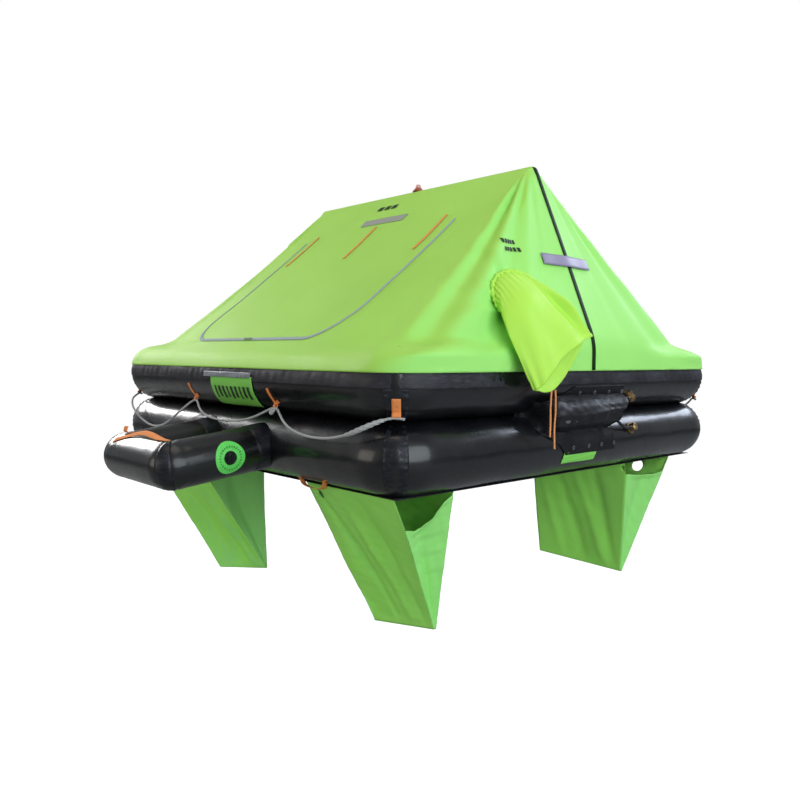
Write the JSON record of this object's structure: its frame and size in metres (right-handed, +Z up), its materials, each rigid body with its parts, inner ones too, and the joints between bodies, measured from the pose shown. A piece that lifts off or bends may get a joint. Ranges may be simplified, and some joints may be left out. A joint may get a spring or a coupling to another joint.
{
  "type": "inflated liferaft",
  "caption": "Inflated tent-canopied liferaft: two stacked buoyancy tubes, arched cloth canopy, boarding ramp, lookout sleeve and ballast bags.",
  "frame": {"origin": "middle of the floor sheet's underside", "axes": "+Z up; +X along the canopy ridge towards the gable with the lookout sleeve; -Y towards the boarding ramp and door"},
  "size_m": [2.1766, 2.5875, 1.8791],
  "materials": {
    "tube_rubber": "gloss",
    "tape_rubber": "satin",
    "canopy_cloth": "matt coated cloth",
    "sleeve_cloth": "coated cloth",
    "bag_cloth": "coated cloth",
    "floor_cloth": "coated cloth",
    "trim_grey": "matt",
    "seam_dark": "matt",
    "retro_film": "beaded film",
    "webbing_orange": "woven",
    "cord_orange": "braided",
    "rope_white": "braided",
    "label_green": "printed",
    "tape_clear": "satin",
    "ring_green": "satin",
    "valve_plastic": "satin",
    "steel": "satin",
    "brass": "satin",
    "cylinder_paint": "satin",
    "hose_rubber": "satin",
    "lamp_plastic": "satin",
    "lamp_clear": "clear"
  },
  "bodies": {
    "raft": {"lower_tube": "tube_rubber", "upper_tube": "tube_rubber", "lower_corner_tapes": "tape_rubber", "upper_corner_tapes": "tape_rubber", "floor_sheet": "floor_cloth", "canopy_boarding_side": "canopy_cloth", "canopy_far_side": "canopy_cloth", "door_zip": "trim_grey", "door_tie_left": "webbing_orange", "door_tie_middle": "webbing_orange", "door_tie_right": "webbing_orange", "capacity_strip": "trim_grey", "gable_seam_tape_front": "seam_dark", "gable_seam_tape_rear": "seam_dark", "gable_reflector_front": "retro_film", "gable_reflector_rear": "retro_film", "canopy_arch": "tube_rubber", "canopy_skirt_band": "tape_rubber", "rope_loops_boarding": "webbing_orange", "rope_loops_far": "webbing_orange", "boarding_label": "label_green", "label_tape": "tape_clear", "pouch_label": "label_green", "ramp_tube": "tube_rubber", "ramp_collar_left": "tube_rubber", "ramp_collar_right": "tube_rubber", "ramp_floor": "floor_cloth", "ramp_strap": "webbing_orange", "valve_body": "valve_plastic", "valve_spring": "steel", "valve_label_ring": "ring_green", "gas_cylinder": "cylinder_paint", "operating_head": "brass", "upper_hose": "hose_rubber", "lower_hose": "hose_rubber", "upper_inlet_valve": "brass", "lower_inlet_valve": "brass", "cylinder_pouch": "tube_rubber", "pouch_eyelets": "steel", "lookout_sleeve": "sleeve_cloth", "sleeve_draw_cord_left": "cord_orange", "sleeve_draw_cord_right": "cord_orange", "grab_line_boarding": "rope_white", "grab_line_far": "rope_white", "ballast_bag_front_boarding": "bag_cloth", "ballast_bag_front_far": "bag_cloth", "ballast_bag_rear_boarding": "bag_cloth", "ballast_bag_rear_far": "bag_cloth", "righting_loop": "webbing_orange", "lamp_base": "lamp_plastic", "lamp_lens": "lamp_clear", "relief_valve": "valve_plastic"},
    "valve_cap": {"valve_cap": "valve_plastic"},
    "valve_plunger": {"valve_plunger": "brass"},
    "zip_slider_left": {"zip_slider_left": "steel"},
    "zip_slider_right": {"zip_slider_right": "steel"}
  },
  "joints": [
    {"name": "valve_cap_turn", "type": "hinge", "parent": "raft", "child": "valve_cap", "pos_m": [0.35, -1.23, 0.098], "axis": [1, 0, 0], "range_deg": [0, 90]},
    {"name": "valve_plunger_press", "type": "slide", "parent": "raft", "child": "valve_plunger", "axis": [-1, 0, 0], "range_m": [0, 0.004], "stiffness_N_per_m": 400, "deforming": ["valve_spring"]},
    {"name": "zip_open_left", "type": "slide", "parent": "raft", "child": "zip_slider_left", "axis": [-1, 0, 0], "range_m": [0, 0.3]},
    {"name": "zip_open_right", "type": "slide", "parent": "raft", "child": "zip_slider_right", "axis": [1, 0, 0], "range_m": [0, 0.3]}
  ]
}
